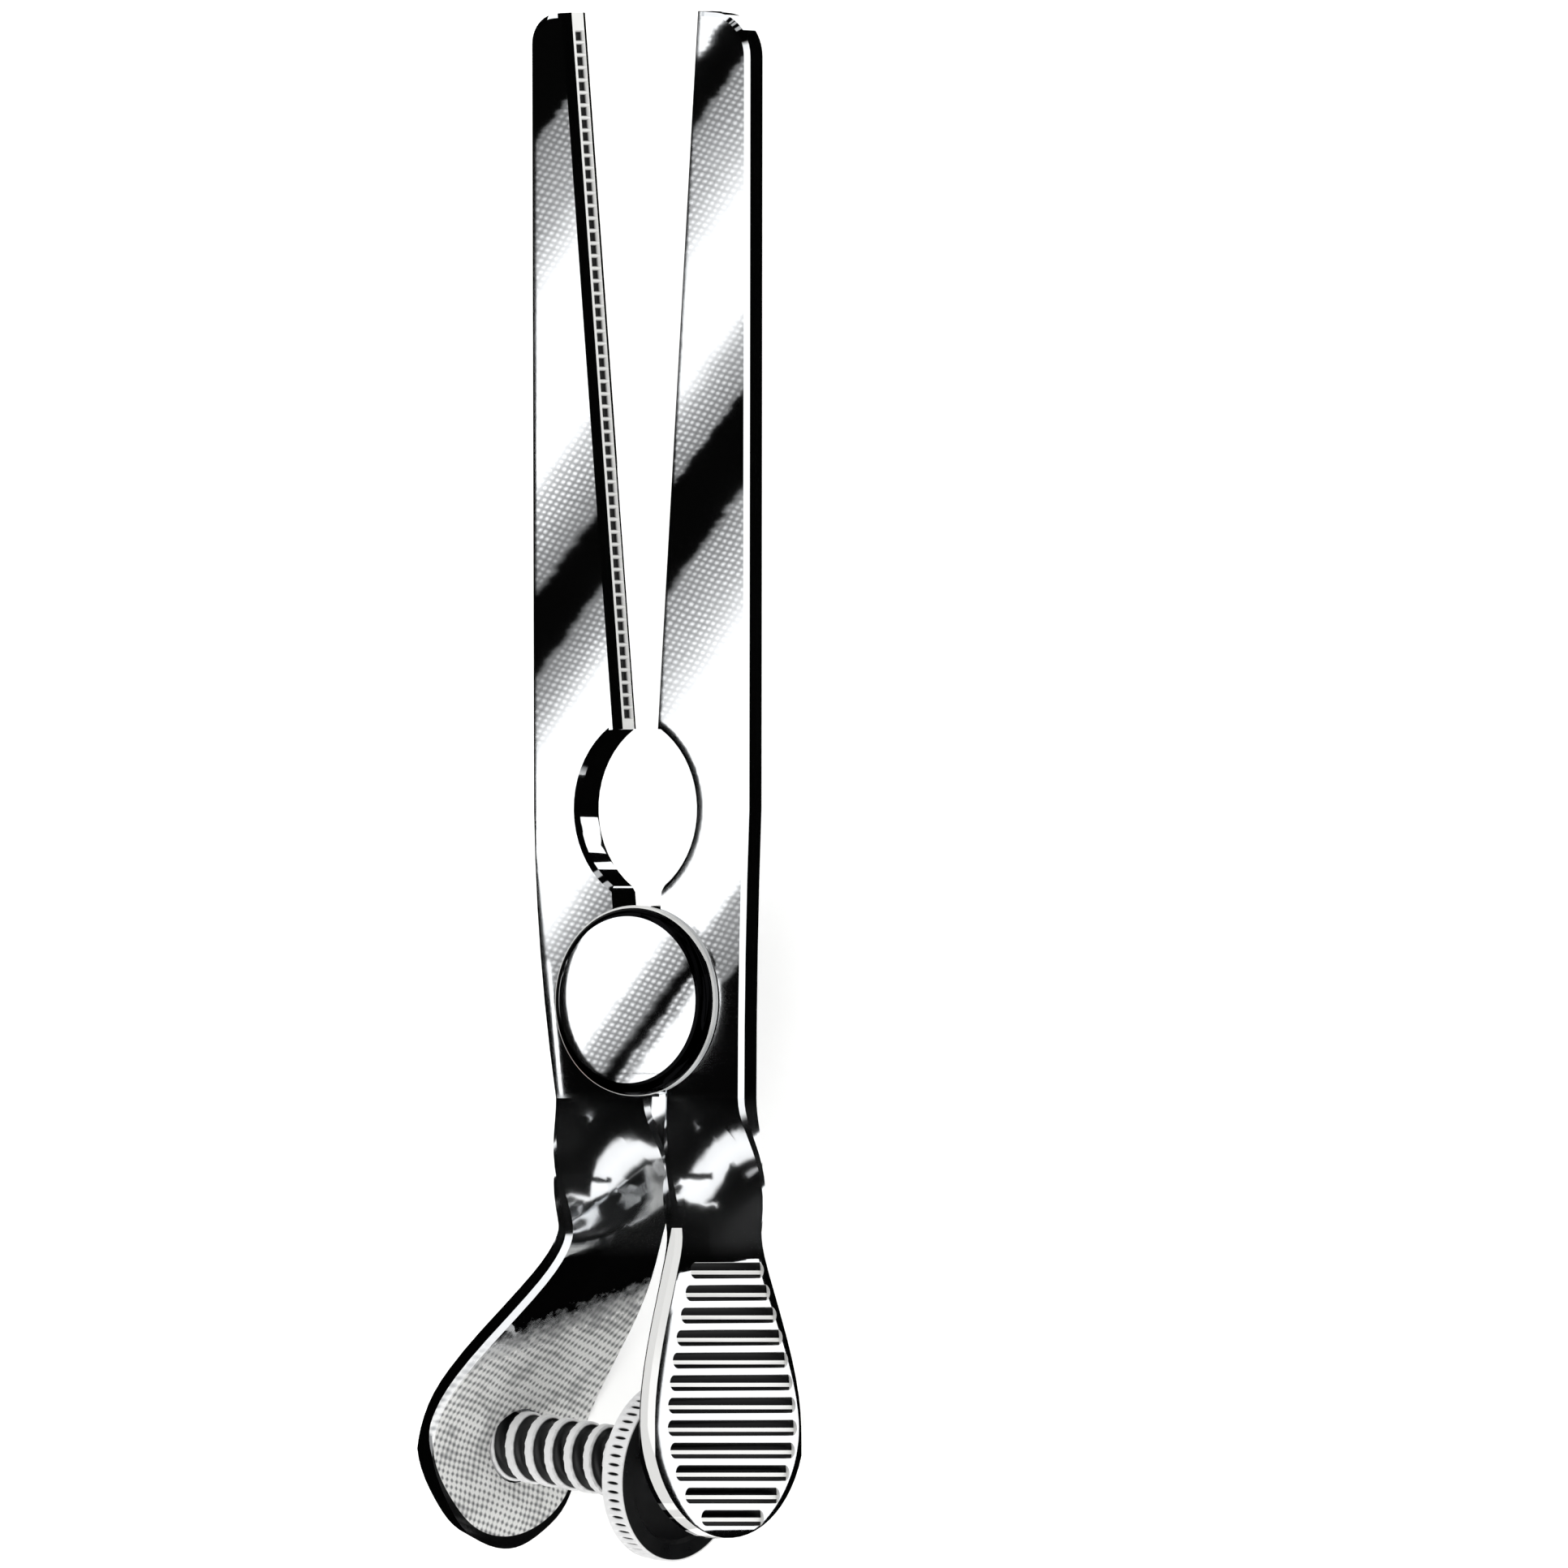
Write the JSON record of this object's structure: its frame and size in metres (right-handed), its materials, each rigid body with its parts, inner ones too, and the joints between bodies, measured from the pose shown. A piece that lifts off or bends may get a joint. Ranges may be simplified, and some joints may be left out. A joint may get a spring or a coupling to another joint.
{
  "type": "bulldog clamp",
  "caption": "Long straight bulldog clamp with toothed jaws, a round pivot, twisted grooved finger plates and a knurled adjusting screw.",
  "frame": {"origin": "centre of the pivot, on its axis and midway through the arms' thickness", "axes": "+Y to the jaw tips, +Z along the pivot's axis to the front face that the picture shows, +X to the arm with the straight finger plate; jaws standing open at rest"},
  "size_m": [0.0312, 0.1194, 0.018],
  "materials": {
    "polished_arm": "mirror polished stainless steel",
    "polished_cap": "mirror polished stainless steel",
    "turned_steel": "turned stainless steel",
    "threaded_steel": "turned and threaded stainless steel",
    "knurled_steel": "knurled stainless steel",
    "plain_pin": "ground stainless steel",
    "spring_wire": "drawn stainless spring wire"
  },
  "bodies": {
    "left_half": {"left_arm": "polished_arm", "rear_cap": "polished_cap", "rear_cap_dowels": "plain_pin", "pivot_sleeve": "turned_steel", "torsion_spring": "spring_wire", "screw_nut": "turned_steel"},
    "right_half": {"right_arm": "polished_arm", "front_cap": "polished_cap", "front_cap_dowels": "plain_pin", "pivot_pin": "polished_cap"},
    "foot": {"pressure_foot": "turned_steel", "snap_ring": "spring_wire"},
    "screw": {"adjusting_screw": "threaded_steel", "knurled_wheel": "knurled_steel", "wheel_pin": "plain_pin"}
  },
  "joints": [
    {"name": "jaw_swing", "type": "hinge", "parent": "left_half", "child": "right_half", "pos_m": [0, 0, 0], "axis": [0, 0, 1], "range_deg": [-5.5, 8.9], "deforming": ["torsion_spring"]},
    {"name": "screw_travel", "type": "slide", "parent": "left_half", "child": "foot", "axis": [0.9871, -0.1219, 0.1037], "range_m": [-0.0035, 0.00566]},
    {"name": "screw_turn", "type": "hinge", "parent": "foot", "child": "screw", "pos_m": [-0.01403, -0.03412, -0.00094], "axis": [0.9871, -0.1219, 0.1037], "range_deg": [-628, 1016]}
  ],
  "couplings": [
    {"joint": "screw_travel", "follows": "jaw_swing", "m_per_rad": 0.036325},
    {"joint": "screw_turn", "follows": "jaw_swing", "ratio": 114.12}
  ]
}
